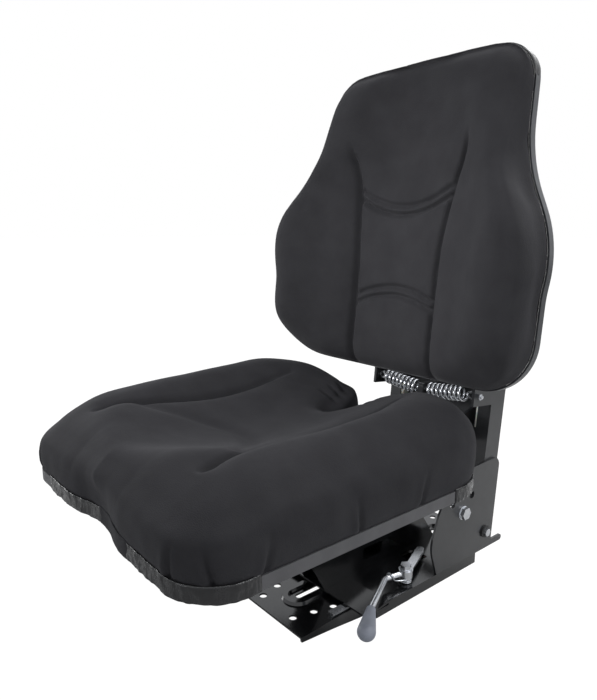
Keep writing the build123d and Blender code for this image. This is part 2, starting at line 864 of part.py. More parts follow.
def crown_edges(part, base, low, high):
    """Edges round a swelling face: off the base plane, not square to it, and no seam between low and high."""
    chosen = []
    for edge in part.edges():
        place = base.to_local_coords(edge.center())
        way = edge.tangent_at(0.5)
        square = abs(way.dot(base.z_dir)) > along_limit
        seam = abs(way.dot(base.x_dir)) > along_limit and low + cut_over < place.Y < high - cut_over
        if place.Z > cut_over and not square and not (seam and edge.geom_type == GeomType.LINE):
            chosen.append(edge)
    return chosen


seat_swell_line = (
    (seat_front - cut_over, seat_edge_heights[0]),
    (seat_front + seat_swell[0][0], seat_swell[0][1]),
    (seat_back - seat_swell[1][0], seat_swell[1][1]),
    (seat_back + cut_over, seat_edge_heights[1]),
)
dish_centre = (0, vee_tip - dish_ahead, dish_floor + dish_along)
dish_start = Plane(origin=dish_centre, z_dir=(0, 1, 0), x_dir=(1, 0, 0)).rotated((-dish_turn / 2, 0, 0))
with BuildPart() as seat_cushion:
    extrude(seat_plan(pan_rim, 0), amount=max(height for _, height in seat_swell_line) - pan_rim)
    with BuildSketch(Plane.YZ):
        with BuildLine():
            swell = FilletPolyline(*seat_swell_line, radius=seat_swell_radii)
            Polyline(
                swell @ 1,
                (seat_back + cut_over, pan_rim),
                (seat_front - cut_over, pan_rim),
                swell @ 0,
            )
        make_face()
    extrude(amount=seat_half + cut_over, both=True, mode=Mode.INTERSECT)
    fillet(
        crown_edges(seat_cushion.part, Plane.XY.offset(pan_rim), seat_front_middle, seat_back),
        cushion_crown,
    )
    with BuildSketch(dish_start):
        with Locations((0, dish_along - dish_across)):
            Circle(dish_across)
    revolve(axis=Axis(dish_centre, (1, 0, 0)), revolution_arc=dish_turn, mode=Mode.SUBTRACT)
    dish_face = seat_cushion.faces().filter_by(GeomType.TORUS).sort_by(SortBy.AREA)[-1]
    fillet(dish_face.edges(), ridge_round)
    extrude(seat_plan(pan_rim, trim_sheet + pan_sheet + body_gap), amount=pan_floor - pan_rim)
seat_cushion.part.label = "seat_cushion"
export_step(seat_cushion.part, "parts/seat_cushion.step")


def back_outline(r, inset=0, scale=1):
    """Outline of the backrest at a depth, drawn in by an inset and scaled about its middle height."""
    middle = (back_bottom + back_top) / 2
    left = [(x * scale, middle + (s - middle) * scale) for x, s in back_corners]
    right = [(-x, s) for x, s in left[-2::-1]]
    radii = [scale * radius for radius in back_radii + back_radii[-2::-1]]
    with BuildSketch(facing(r)) as outline:
        with BuildLine():
            FilletPolyline(*left, *right, radius=radii, close=True)
        make_face()
        if inset:
            offset(amount=-inset, mode=Mode.REPLACE)
    return outline.sketch


back_bolt_places = [(x, s + standoff_height / 2) for x, s in standoff_places]
with BuildPart() as backrest_pan:
    loft(
        [back_outline(band_r, band_sheet + thread_gap), back_outline(shell_r, band_sheet, shell_scale)],
        ruled=True,
    )
    loft(
        [
            back_outline(band_r, band_sheet + thread_gap + shell_sheet),
            back_outline(shell_r - shell_sheet, band_sheet + shell_sheet, shell_scale),
        ],
        ruled=True,
        mode=Mode.SUBTRACT,
    )
    with BuildSketch(facing(shell_r)):
        with Locations(*back_bolt_places):
            Circle(m8 / 2 + thread_gap)
    extrude(amount=shell_sheet, mode=Mode.SUBTRACT)
backrest_pan.part.label = "backrest_pan"
export_step(backrest_pan.part, "parts/backrest_pan.step")
with BuildPart() as backrest_edge_trim:
    extrude(back_outline(band_r), amount=-band_width)
    extrude(back_outline(band_r, band_sheet), amount=-band_width, mode=Mode.SUBTRACT)
backrest_edge_trim.part.label = "backrest_edge_trim"
export_step(backrest_edge_trim.part, "parts/backrest_edge_trim.step")
back_swell_line = (
    (band_r - back_edge_foam[0], back_bottom - cut_over),
    *[(band_r - foam, back_bottom + rise) for rise, foam in back_swell],
    (band_r - back_edge_foam[1], back_top + cut_over),
)
with BuildPart() as backrest_cushion:
    extrude(back_outline(band_r), amount=max(foam for _, foam in back_swell))
    with BuildSketch(Plane(origin=post_plane.origin, x_dir=post_plane.y_dir, z_dir=post_plane.x_dir)):
        with BuildLine():
            swell = FilletPolyline(*back_swell_line, radius=back_swell_radii)
            Polyline(
                swell @ 1,
                (band_r, back_top + cut_over),
                (band_r, back_bottom - cut_over),
                swell @ 0,
            )
        make_face()
    extrude(amount=max(x for x, _ in back_corners) + cut_over, both=True, mode=Mode.INTERSECT)
    fillet(crown_edges(backrest_cushion.part, facing(band_r), back_bottom, back_top), back_crown)
    with BuildSketch(post_plane.offset(back_bottom - cut_over)):
        with Locations((0, band_r - lumbar_floor - lumbar_radius)):
            Circle(lumbar_radius)
    extrude(amount=back_top - back_bottom + 2 * cut_over, mode=Mode.SUBTRACT)
    lumbar_face = backrest_cushion.faces().filter_by(GeomType.CYLINDER).sort_by(SortBy.AREA)[-1]
    fillet(lumbar_face.edges(), ridge_round)
backrest_cushion.part.label = "backrest_cushion"
export_step(backrest_cushion.part, "parts/backrest_cushion.step")
with BuildPart() as back_bolts:
    with BuildSketch(facing(shell_r + standoff_sheet)):
        with Locations(*back_bolt_places):
            hexagon(m8_flats)
    extrude(amount=-m8_head)
    with BuildSketch(facing(shell_r + standoff_sheet)):
        with Locations(*back_bolt_places):
            Circle(m8 / 2)
    extrude(amount=standoff_sheet + shell_sheet)
back_bolts.part.label = "back_bolts"
export_step(back_bolts.part, "parts/back_bolts.step")

# Slide lever: bent rod, pivot eye, flat arm and latch finger in one weldment
eye_low = lever_height - eye_height / 2
eye_high = lever_height + eye_height / 2
rod_heading = atan2(lever_bend[1] - lever_pivot[1], lever_bend[0] - lever_pivot[0])
rod_start = (
    lever_pivot[0] + rod_weld * cos(rod_heading),
    lever_pivot[1] + rod_weld * sin(rod_heading),
)
rod_end = tuple(n + (knob_start + knob_hold) * a for n, a in zip(lever_neck, knob_axis))
knob_origin = tuple(n + knob_start * a for n, a in zip(lever_neck, knob_axis))
arm_run = (finger_x - lever_pivot[0], finger_y - lever_pivot[1])
with BuildPart() as slide_lever:
    with BuildLine(Plane.XY.offset(lever_height)) as rod:
        FilletPolyline(
            rod_start,
            lever_bend,
            lever_neck,
            rod_end,
            radius=[lever_bend_radius, lever_neck_radius],
        )
    with BuildSketch(Plane(origin=rod.line @ 0, z_dir=rod.line % 0)):
        Circle(lever_rod / 2)
    sweep()
    with BuildSketch(Plane.XY.offset(eye_low)):
        with Locations(lever_pivot):
            Circle(eye_d / 2)
    extrude(amount=eye_height)
    with BuildSketch(Plane.XY.offset(eye_low)):
        with Locations((lever_pivot[0] + arm_run[0] / 2, lever_pivot[1] + arm_run[1] / 2)):
            SlotCenterToCenter(
                hypot(*arm_run), arm_bar_width, rotation=degrees(atan2(arm_run[1], arm_run[0]))
            )
    extrude(amount=arm_bar_sheet)
    with BuildSketch(Plane.XY.offset(eye_low)):
        with Locations((finger_x, finger_y)):
            Rectangle(finger_sheet, finger_width)
    extrude(amount=rail_head_under - eye_low)
    with BuildSketch(Plane.XY.offset(eye_low)):
        with Locations(lever_pivot):
            Circle(m10 / 2 + running_gap)
    extrude(amount=eye_height, mode=Mode.SUBTRACT)
slide_lever.part.label = "slide_lever"
export_step(slide_lever.part, "parts/slide_lever.step")

# Teardrop knob pressed on the rod's end
knob_round = knob_bulb / 2
knob_centre = knob_length - knob_round
knob_span = hypot(knob_centre, knob_neck / 2)
knob_slope = asin(knob_round / knob_span) - atan2(knob_neck / 2, knob_centre)
knob_side = sqrt(knob_span**2 - knob_round**2)
knob_plane = Plane(
    origin=(*knob_origin, lever_height), x_dir=(*knob_axis, 0), z_dir=(knob_axis[1], -knob_axis[0], 0)
)
with BuildPart() as lever_knob:
    with BuildSketch(knob_plane):
        with BuildLine():
            bulb = CenterArc((knob_centre, 0), knob_round, 0, 90 + degrees(knob_slope))
            PolarLine((0, knob_neck / 2), knob_side, degrees(knob_slope))
            Polyline((0, knob_neck / 2), (0, 0), bulb @ 0)
        make_face()
    revolve(axis=Axis(knob_plane.origin, knob_plane.x_dir))
    with BuildSketch(Plane(origin=knob_plane.origin, z_dir=knob_plane.x_dir)):
        Circle(lever_rod / 2 + thread_gap)
    extrude(amount=knob_hold + thread_gap, mode=Mode.SUBTRACT)
lever_knob.part.label = "lever_knob"
export_step(lever_knob.part, "parts/lever_knob.step")

# Pivot bolt through the tray, with its nut, spacer and washer
head_under = eye_high + thread_gap + m10_washer_sheet
with BuildPart() as lever_pivot_bolt:
    with BuildSketch(Plane.XY.offset(head_under)):
        with Locations(lever_pivot):
            hexagon(m10_flats)
    extrude(amount=m10_head)
    with BuildSketch(Plane.XY.offset(head_under)):
        with Locations(lever_pivot):
            Circle(m10 / 2)
    extrude(amount=tray_under - m10_nut - head_under)
lever_pivot_bolt.part.label = "lever_pivot_bolt"
export_step(lever_pivot_bolt.part, "parts/lever_pivot_bolt.step")
with BuildPart() as lever_washer:
    with BuildSketch(Plane.XY.offset(head_under)):
        with Locations(lever_pivot):
            Circle(m10_washer / 2)
            Circle(m10 / 2 + thread_gap, mode=Mode.SUBTRACT)
    extrude(amount=-m10_washer_sheet)
lever_washer.part.label = "lever_washer"
export_step(lever_washer.part, "parts/lever_washer.step")
with BuildPart() as lever_nut:
    with BuildSketch(Plane.XY.offset(tray_under)):
        with Locations(lever_pivot):
            hexagon(m10_flats)
            Circle(m10 / 2 + thread_gap, mode=Mode.SUBTRACT)
    extrude(amount=-m10_nut)
lever_nut.part.label = "lever_nut"
export_step(lever_nut.part, "parts/lever_nut.step")
with BuildPart() as lever_spacer:
    with BuildSketch(Plane.XY.offset(tray_top)):
        with Locations(lever_pivot):
            Circle(spacer_d / 2)
            Circle(m10 / 2 + thread_gap, mode=Mode.SUBTRACT)
    extrude(amount=eye_low - thread_gap - tray_top)
lever_spacer.part.label = "lever_spacer"
export_step(lever_spacer.part, "parts/lever_spacer.step")

# Return spring coiled round the spacer, with a foot on the tray and a hook behind the lever's arm
return_mean = spacer_d + return_wire + 2 * body_gap
return_pitch = (eye_low - tray_top - return_wire - 2 * body_gap) / return_turns
return_start = tray_top + return_wire / 2 + body_gap
return_end = return_start + return_pitch * return_turns
arm_heading = atan2(-arm_run[0], arm_run[1])
hook_side = arm_bar_width / 2 + return_wire / 2 + body_gap
hook = (
    hook_reach * cos(arm_heading) - hook_side * sin(arm_heading),
    hook_reach * sin(arm_heading) + hook_side * cos(arm_heading),
)
with BuildPart() as lever_return_spring:
    with BuildLine(Plane(origin=(*lever_pivot, 0), x_dir=(0, 1, 0), z_dir=(0, 0, 1))) as wire:
        Polyline(
            (return_mean / 2, -return_leg, tray_top + return_wire / 2),
            (return_mean / 2, -return_leg / 2, return_start),
            *coil_points(return_mean, return_pitch, return_turns, spring_chords, return_start),
            (*hook, return_end),
            (*hook, return_end + hook_rise),
        )
    with BuildSketch(Plane(origin=wire.line @ 0, z_dir=wire.line % 0)):
        RegularPolygon(return_wire / 2, wire_sides)
    sweep(transition=Transition.RIGHT)
lever_return_spring.part.label = "lever_return_spring"
export_step(lever_return_spring.part, "parts/lever_return_spring.step")
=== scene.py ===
"""Tractor seat: the looks of a sprung driver's seat, dressed over its fixed frame.

Metres. The driver faces -Y, +X is the driver's left, +Z is up.
"""
import json
import math

import bpy
import numpy as np
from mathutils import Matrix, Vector


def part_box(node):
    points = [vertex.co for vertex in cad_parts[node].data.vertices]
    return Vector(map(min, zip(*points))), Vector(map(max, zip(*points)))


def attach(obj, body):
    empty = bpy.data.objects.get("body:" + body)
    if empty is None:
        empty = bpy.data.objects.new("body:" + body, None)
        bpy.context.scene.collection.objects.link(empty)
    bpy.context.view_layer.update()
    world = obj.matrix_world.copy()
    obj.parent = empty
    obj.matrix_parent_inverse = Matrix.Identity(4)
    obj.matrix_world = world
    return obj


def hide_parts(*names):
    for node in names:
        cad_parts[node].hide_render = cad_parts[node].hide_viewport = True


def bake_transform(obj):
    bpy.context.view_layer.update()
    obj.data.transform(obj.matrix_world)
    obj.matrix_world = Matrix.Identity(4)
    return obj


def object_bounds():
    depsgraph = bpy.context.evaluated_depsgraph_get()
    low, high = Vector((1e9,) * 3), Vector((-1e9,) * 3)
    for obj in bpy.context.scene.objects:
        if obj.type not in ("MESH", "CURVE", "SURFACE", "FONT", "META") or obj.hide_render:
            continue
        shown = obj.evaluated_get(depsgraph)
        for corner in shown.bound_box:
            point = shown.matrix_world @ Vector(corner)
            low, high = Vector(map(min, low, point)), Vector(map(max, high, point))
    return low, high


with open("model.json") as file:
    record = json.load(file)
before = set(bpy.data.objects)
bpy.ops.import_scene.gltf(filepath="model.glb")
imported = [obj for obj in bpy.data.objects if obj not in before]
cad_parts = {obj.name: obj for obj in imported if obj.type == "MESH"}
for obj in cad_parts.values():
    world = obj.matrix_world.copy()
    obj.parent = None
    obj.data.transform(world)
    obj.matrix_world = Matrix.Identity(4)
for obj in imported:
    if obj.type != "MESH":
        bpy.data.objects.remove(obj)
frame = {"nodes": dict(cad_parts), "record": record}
cad_box = [list(corner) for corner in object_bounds()]
SIDES = {"left": 1, "right": -1}

# Camera, solved from the object's parallel edges and mirrored pairs
camera_place = (0.6924, -0.7500, 0.5970)
camera_turn = (78.925, 0.0, 50.217)
camera_lens = 31.79

# Soft solids
soft_voxel = 0.0031
puff_voxel = 0.006
puff_pressure = 4.0
puff_frames = 20
puff_cap = 0.006
seat_rounds = 170
back_rounds = 120
edge_rounds = 8

# Seat plan, as the pan below it
seat_front_radius = 0.064
seat_front_middle = -0.479
seat_dip_half = 0.070
seat_dip_radius = 0.150
seat_back_radius = 0.085
vee_tip = -0.138
vee_half = 0.040
vee_tip_radius = 0.012
vee_mouth_radius = 0.046
outline_step = 0.003

# Gathers along the seat's hem, in plan, and in the lobes beside the rear gap
hem_pleats = ((0.186, -0.497), (0.226, -0.466), (0.240, -0.415), (0.240, -0.280), (0.240, -0.174))
lobe_pleats = (
    ((0.030, -0.075), (0.062, -0.082)),
    ((0.034, -0.058), (0.064, -0.058)),
    ((0.040, -0.042), (0.066, -0.036)),
)

# Seat cushion's sewn channels, in plan
seat_channel = ((0.145, -0.440), (0.139, -0.370), (0.131, -0.270), (0.125, -0.170), (0.122, -0.090))
seat_arc_half = 0.121
seat_arc_end = -0.363
seat_arc_apex = -0.281
seat_arc_flank = (0.55, -0.026)

# Depth and width of the seat's sewn lines and folds
seat_crease = (0.0120, 0.0048)
seat_valley = (0.0070, 0.016)
lobe_crease = (0.0035, 0.0038)
arc_crease = (0.0045, 0.013)
hem_crease = (0.0042, 0.0032)
hem_fold = (0.0016, 0.006)
hem_fold_off = 0.008
hem_tuck = (0.0015, 0.006)

# How far the seat's walls, the lobes beside the rear gap and its hollow swell
seat_bulge = 0.008
seat_bulge_height = 0.085
lobe_swell = 0.0080
hollow_fill = 0.010

# Backrest cushion's sewn channels, seen from the front as width and height
back_channel = (
    (0.128, 0.749),
    (0.110, 0.697),
    (0.099, 0.655),
    (0.088, 0.560),
    (0.0855, 0.470),
    (0.088, 0.340),
)
smile_ends = (0.100, 0.666)
smile_apexes = (0.634, 0.620)
frown_ends = (0.0855, 0.482)
frown_apexes = (0.502, 0.488)

# Depth and width of the backrest's sewn lines
back_crease = (0.0105, 0.0042)
back_valley = (0.0060, 0.016)
smile_depths = (0.0075, 0.0100)
frown_depths = (0.0080, 0.0085)
stitch_width = 0.0040

# How far the backrest's sides and upper face are set back, and its middle forward
shoulder_set = 0.003
shoulder_set_upper = 0.006
upper_set = 0.013
middle_bulge = 0.005

# How far from its frame a cover is held
held_height = 0.03

# Strips along the seat's edge, measured from the pan's rim
film_shape = {"low": -0.0165, "high": 0.003, "out": 0.0014, "thick": 0.001, "crumple": 0.0022}
hem_shape = {"low": -0.0165, "high": 0.006, "out": 0.0016, "thick": 0.001, "crumple": 0.0006}
film_runs = {
    "film_front_left": ((0.240, -0.421), (0.090, -0.497)),
    "film_front_right": ((-0.002, -0.479), (-0.150, -0.497)),
    "film_rear_left": ((0.150, -0.010), (0.240, -0.105)),
    "film_rear_right": ((-0.240, -0.105), (-0.150, -0.010)),
}
hem_run = ((0.100, -0.497), (-0.010, -0.480))

# Springs
spring_wire = 0.005
spring_mean = 0.023
spring_turns = 8
spring_slope = 6.0
spring_lead = 0.007

# Lever's return spring
lever_pivot = (0.098, -0.028)
return_wire = 0.0025
return_mean = 0.0181
return_turns = 2.25
return_foot = ((-0.020, 0.013), (-0.012, 0.01005))
return_hook = (
    (0.1062, -0.0400, 0.0420),
    (0.1008, -0.0520, 0.0435),
    (0.0992, -0.0575, 0.0470),
    (0.0970, -0.0590, 0.0532),
    (0.0922, -0.0592, 0.0548),
    (0.0868, -0.0592, 0.0528),
    (0.0852, -0.0592, 0.0490),
)

# Backrest's lean and the film at its top corners, in its own plane
back_lean = math.radians(5.9)
back_way = np.array([0, math.cos(back_lean), -math.sin(back_lean)])
post_way = np.array([math.sin(back_lean), math.cos(back_lean)])
post_foot = (0.161, 0.066)
band_depth = -0.1445
cap_centre = (0.136, 0.722)
cap_radius = 0.062
cap_turn = (8.0, 52.0)
cap_proud = 0.0024
cap_depths = (-0.003, -0.002, 0.005, 0.012, 0.013)
cap_lift = 0.0003

# Studio: each lamp's place, target, size, power and cone in degrees
floor_size = 40.0
floor_gap = 0.0005
floor_glow = 1.13
floor_glow_share = 0.90
surround = 0.38
surround_mirrored = 0.52
lamps = {
    "key": ((-1.9, -0.8, 0.6), (0, 0.05, 0.6), 0.9, 8, 180),
    "front": ((-0.1, -1.7, 1.0), (0, 0.05, 0.54), 0.4, 0.8, 32),
    "top": ((0.0, 1.1, 2.1), (0, -0.2, 0.3), 1.3, 29, 180),
    "right": ((1.6, 0.4, 1.7), (0.1, -0.1, 0.4), 0.9, 11, 180),
}


def smooth(low, high, value):
    """Eases from 0 at low to 1 at high."""
    t = np.clip((value - low) / (high - low), 0, 1)
    return t * t * (3 - 2 * t)


def bell(distance, width):
    """1 at no distance, falling off over a width."""
    return np.exp(-((distance / width) ** 2))


def crease(distance, shape):
    """Depth of a sewn line at a distance from it; its shape is depth and width."""
    depth, width = shape
    return depth * bell(distance, width)


def curve_through(points, steps=14):
    """Smooth path through a few points."""
    p = np.array(points, float)
    p = np.vstack([2 * p[0] - p[1], p, 2 * p[-1] - p[-2]])
    t = np.linspace(0, 1, steps, endpoint=False)[:, None]
    path = []
    for a, b, c, d in zip(p, p[1:], p[2:], p[3:]):
        path.append(b + 0.5 * t * (c - a + t * (2 * a - 5 * b + 4 * c - d + t * (3 * (b - c) + d - a))))
    return np.vstack(path + [p[-2:-1]])


def nearest(points, path):
    """Each point's distance from a path, and where along it the nearest place is, from 0 to 1."""
    best = np.full(len(points), np.inf)
    where = np.zeros(len(points))
    steps = np.linalg.norm(np.diff(path, axis=0), axis=1)
    before = np.concatenate([[0], np.cumsum(steps)])
    for a, b, start, length in zip(path, path[1:], before, steps):
        t = np.clip((points - a) @ (b - a) / length**2, 0, 1)
        d = np.linalg.norm(points - a - t[:, None] * (b - a), axis=1)
        closer = d < best
        best[closer] = d[closer]
        where[closer] = (start + t[closer] * length) / before[-1]
    return best, where


def ripple(points, size, seed):
    """Soft uneven waves between -1 and 1, the same each time."""
    draw = np.random.default_rng(seed)
    total = np.zeros(len(points))
    for _ in range(6):
        way = draw.normal(size=points.shape[1])
        way *= 2 * math.pi / (size * np.linalg.norm(way) * draw.uniform(0.7, 1.5))
        total += np.sin(points @ way + draw.uniform(0, 2 * math.pi))
    return total / 6


def rounded_outline(corners, radii, step):
    """Closed outline with rounded corners, as evenly spaced points."""
    corners = [np.array(c, float) for c in corners]
    path = []
    for i, corner in enumerate(corners):
        back = corners[i - 1] - corner
        ahead = corners[(i + 1) % len(corners)] - corner
        back /= np.linalg.norm(back)
        ahead /= np.linalg.norm(ahead)
        half = math.acos(np.clip(back @ ahead, -1, 1)) / 2
        reach = radii[i] / math.tan(half)
        middle = (back + ahead) / np.linalg.norm(back + ahead)
        centre = corner + middle * radii[i] / math.sin(half)
        first = corner + back * reach - centre
        last = corner + ahead * reach - centre
        a0 = math.atan2(first[1], first[0])
        sweep = (math.atan2(last[1], last[0]) - a0 + math.pi) % (2 * math.pi) - math.pi
        for t in np.linspace(0, 1, 24):
            a = a0 + sweep * t
            path.append(centre + radii[i] * np.array([math.cos(a), math.sin(a)]))
    path = np.array(path + [path[0]])
    lengths = np.concatenate([[0], np.cumsum(np.linalg.norm(np.diff(path, axis=0), axis=1))])
    spaced = np.linspace(0, lengths[-1], int(lengths[-1] / step), endpoint=False)
    return np.column_stack([np.interp(spaced, lengths, path[:, k]) for k in (0, 1)])


def outline_normals(path):
    """Directions that point out of a closed outline."""
    along = np.roll(path, -1, axis=0) - np.roll(path, 1, axis=0)
    along /= np.linalg.norm(along, axis=1)[:, None]
    out = np.column_stack([along[:, 1], -along[:, 0]])
    area = np.sum(path[:, 0] * np.roll(path[:, 1], -1) - np.roll(path[:, 0], -1) * path[:, 1])
    return out if area > 0 else -out


def points_of(piece):
    """A piece's vertices as an array."""
    co = np.empty(3 * len(piece.data.vertices))
    piece.data.vertices.foreach_get("co", co)
    return co.reshape(-1, 3)


def normals_of(piece):
    """A piece's vertex normals as an array."""
    n = np.empty(3 * len(piece.data.vertices))
    piece.data.vertex_normals.foreach_get("vector", n)
    return n.reshape(-1, 3)


def put_points(piece, points):
    """Moves a piece's vertices."""
    piece.data.vertices.foreach_set("co", points.ravel())
    piece.data.update()


def new_piece(name, mesh, body, material):
    """A mesh as a piece of the object, riding on a body."""
    piece = bpy.data.objects.new(name, mesh)
    bpy.context.collection.objects.link(piece)
    mesh.materials.clear()
    mesh.materials.append(material)
    mesh.shade_smooth()
    if body:
        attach(piece, body)
    return piece


def mesh_of(name, vertices, faces):
    """A mesh from its vertices and faces."""
    mesh = bpy.data.meshes.new(name)
    mesh.from_pydata([tuple(v) for v in vertices], [], faces)
    mesh.update()
    return mesh


def settle(piece):
    """Applies a piece's modifiers to its mesh."""
    graph = bpy.context.evaluated_depsgraph_get()
    mesh = bpy.data.meshes.new_from_object(piece.evaluated_get(graph))
    piece.modifiers.clear()
    piece.data = mesh


def even(piece, voxel):
    """Gives a piece an even mesh."""
    remesh = piece.modifiers.new("even", "REMESH")
    remesh.mode = "VOXEL"
    remesh.voxel_size = voxel
    settle(piece)


def puff(piece, held):
    """Swells a pad by cloth simulation under pressure, less where it is held and never past the cap."""
    before = points_of(piece)
    cloth = piece.modifiers.new("puff", "CLOTH")
    cloth.settings.use_pressure = True
    cloth.settings.uniform_pressure_force = puff_pressure
    cloth.settings.effector_weights.gravity = 0
    cloth.point_cache.frame_start = 1
    cloth.point_cache.frame_end = puff_frames
    for step in range(1, puff_frames + 1):
        bpy.context.scene.frame_set(step)
    settle(piece)
    bpy.context.scene.frame_set(1)
    move = points_of(piece) - before
    far = np.maximum(np.linalg.norm(move, axis=1), 1e-9)
    move *= (puff_cap * np.tanh(far / puff_cap) / far)[:, None]
    put_points(piece, before + (1 - held(before))[:, None] * move)


def soft_copy(node, name, held):
    """A soft CAD solid swelled as a pad, kept still where it is held, as an even mesh."""
    piece = bpy.data.objects.new(name, frame["nodes"][node].data.copy())
    bpy.context.collection.objects.link(piece)
    even(piece, puff_voxel)
    puff(piece, held)
    even(piece, soft_voxel)
    return piece


def ease(piece, rounds, share):
    """Rounds a piece's edges over, each vertex by its own share."""
    group = piece.vertex_groups.new(name="ease")
    levels = np.round(share * 20).astype(int)
    for level in range(1, 21):
        group.add(np.nonzero(levels == level)[0].tolist(), level / 20, "REPLACE")
    rounding = piece.modifiers.new("ease", "SMOOTH")
    rounding.iterations = rounds
    rounding.vertex_group = group.name
    settle(piece)
    piece.vertex_groups.clear()


def tube(name, path, radius, sides=10):
    """Round wire along a path, closed at both ends."""
    path = np.array(path, float)
    along = np.gradient(path, axis=0)
    along /= np.linalg.norm(along, axis=1)[:, None]
    across = np.cross(along[0], (0.31, 0.52, 0.79))
    vertices = []
    for place, way in zip(path, along):
        across = across - way * (across @ way)
        across /= np.linalg.norm(across)
        other = np.cross(way, across)
        for k in range(sides):
            a = 2 * math.pi * k / sides
            vertices.append(place + radius * (math.cos(a) * across + math.sin(a) * other))
    faces = []
    for i in range(len(path) - 1):
        for k in range(sides):
            k2 = (k + 1) % sides
            faces.append((i * sides + k, i * sides + k2, (i + 1) * sides + k2, (i + 1) * sides + k))
    faces.append(tuple(range(sides))[::-1])
    faces.append(tuple((len(path) - 1) * sides + k for k in range(sides)))
    return mesh_of(name, vertices, faces)


def strip(name, sections):
    """Closed strip made of rings of points, one ring at each place along it."""
    rows = len(sections)
    count = len(sections[0])
    faces = []
    for r in range(rows - 1):
        for i in range(count):
            i2 = (i + 1) % count
            faces.append((r * count + i, r * count + i2, (r + 1) * count + i2, (r + 1) * count + i))
    faces.append(tuple(range(count))[::-1])
    faces.append(tuple((rows - 1) * count + i for i in range(count)))
    return mesh_of(name, np.vstack(sections), faces)


# Materials
def material_tree(name, colour, roughness, metallic=0.0, **more):
    """A material with its plain values set on the shader."""
    material = bpy.data.materials.new(name)
    material.use_nodes = True
    shader = material.node_tree.nodes["Principled BSDF"]
    shader.inputs["Base Color"].default_value = (*colour, 1)
    shader.inputs["Roughness"].default_value = roughness
    shader.inputs["Metallic"].default_value = metallic
    for socket, value in more.items():
        shader.inputs[socket.replace("_", " ").title()].default_value = value
    return material, material.node_tree, shader


def noise(tree, scale, detail=3.0, stretch=(1, 1, 1)):
    """Noise in the object's own metres; scale is waves a metre."""
    coords = tree.nodes.new("ShaderNodeTexCoord")
    mapping = tree.nodes.new("ShaderNodeMapping")
    mapping.inputs["Scale"].default_value = stretch
    texture = tree.nodes.new("ShaderNodeTexNoise")
    texture.inputs["Scale"].default_value = scale
    texture.inputs["Detail"].default_value = detail
    tree.links.new(coords.outputs["Object"], mapping.inputs["Vector"])
    tree.links.new(mapping.outputs["Vector"], texture.inputs["Vector"])
    return texture.outputs["Fac"]


def cells(tree, scale):
    """Small rounded cells in the object's own metres."""
    coords = tree.nodes.new("ShaderNodeTexCoord")
    texture = tree.nodes.new("ShaderNodeTexVoronoi")
    texture.inputs["Scale"].default_value = scale
    tree.links.new(coords.outputs["Object"], texture.inputs["Vector"])
    return texture.outputs["Distance"]


def ramp(tree, source, low, high, start=0.3, stop=0.7):
    """Colour ramp between two colours."""
    node = tree.nodes.new("ShaderNodeValToRGB")
    node.color_ramp.elements[0].position = start
    node.color_ramp.elements[0].color = (*low, 1)
    node.color_ramp.elements[1].position = stop
    node.color_ramp.elements[1].color = (*high, 1)
    tree.links.new(source, node.inputs["Fac"])
    return node.outputs["Color"]


def spread(tree, source, low, high):
    """A value spread between two limits."""
    node = tree.nodes.new("ShaderNodeMapRange")
    node.inputs["To Min"].default_value = low
    node.inputs["To Max"].default_value = high
    tree.links.new(source, node.inputs["Value"])
    return node.outputs["Result"]


def bump(tree, shader, source, distance, strength=1.0, under=None):
    """Relief of a real depth in metres, on top of another relief."""
    node = tree.nodes.new("ShaderNodeBump")
    node.inputs["Distance"].default_value = distance
    node.inputs["Strength"].default_value = strength
    tree.links.new(source, node.inputs["Height"])
    if under is not None:
        tree.links.new(under, node.inputs["Normal"])
    tree.links.new(node.outputs["Normal"], shader.inputs["Normal"])
    return node.outputs["Normal"]


def fabric_material():
    """Close knitted charcoal cloth."""
    material, tree, shader = material_tree(
        "charcoal_knit", (0.036, 0.0355, 0.039), 0.85, sheen_weight=0.06, sheen_roughness=0.45
    )
    shader.inputs["Sheen Tint"].default_value = (0.74, 0.74, 0.77, 1)
    shader.inputs["Specular IOR Level"].default_value = 0.12
    colour = ramp(tree, noise(tree, 26, 4), (0.033, 0.0325, 0.036), (0.041, 0.0405, 0.0445))
    tree.links.new(colour, shader.inputs["Base Color"])
    weave = bump(tree, shader, cells(tree, 850), 0.00035, 0.6)
    bump(tree, shader, noise(tree, 140, 3), 0.0006, 0.35, weave)
    return material


def paint_material(name, tone, roughness):
    """Black enamel on pressed steel, from glossy to satin."""
    material, tree, shader = material_tree(
        name, (tone, tone * 1.04, tone * 1.16), roughness, coat_weight=0.5, coat_roughness=0.14
    )
    dark = (tone * 0.86, tone * 0.90, tone * 1.02)
    light = (tone * 1.28, tone * 1.32, tone * 1.44)
    colour = ramp(tree, noise(tree, 35, 5), dark, light)
    tree.links.new(colour, shader.inputs["Base Color"])
    rough = spread(tree, noise(tree, 55, 4), roughness * 0.8, roughness * 1.25)
    tree.links.new(rough, shader.inputs["Roughness"])
    bump(tree, shader, noise(tree, 420, 2), 0.00012, 0.5)
    return material


def zinc_material():
    """Bright zinc plate with a faint bloom."""
    material, tree, shader = material_tree("zinc_plate", (0.66, 0.68, 0.71), 0.3, 1.0)
    colour = ramp(tree, noise(tree, 120, 5), (0.62, 0.64, 0.67), (0.74, 0.75, 0.78))
    tree.links.new(colour, shader.inputs["Base Color"])
    tree.links.new(spread(tree, noise(tree, 240, 4), 0.16, 0.28), shader.inputs["Roughness"])
    bump(tree, shader, noise(tree, 900, 2), 0.00002, 0.3)
    return material


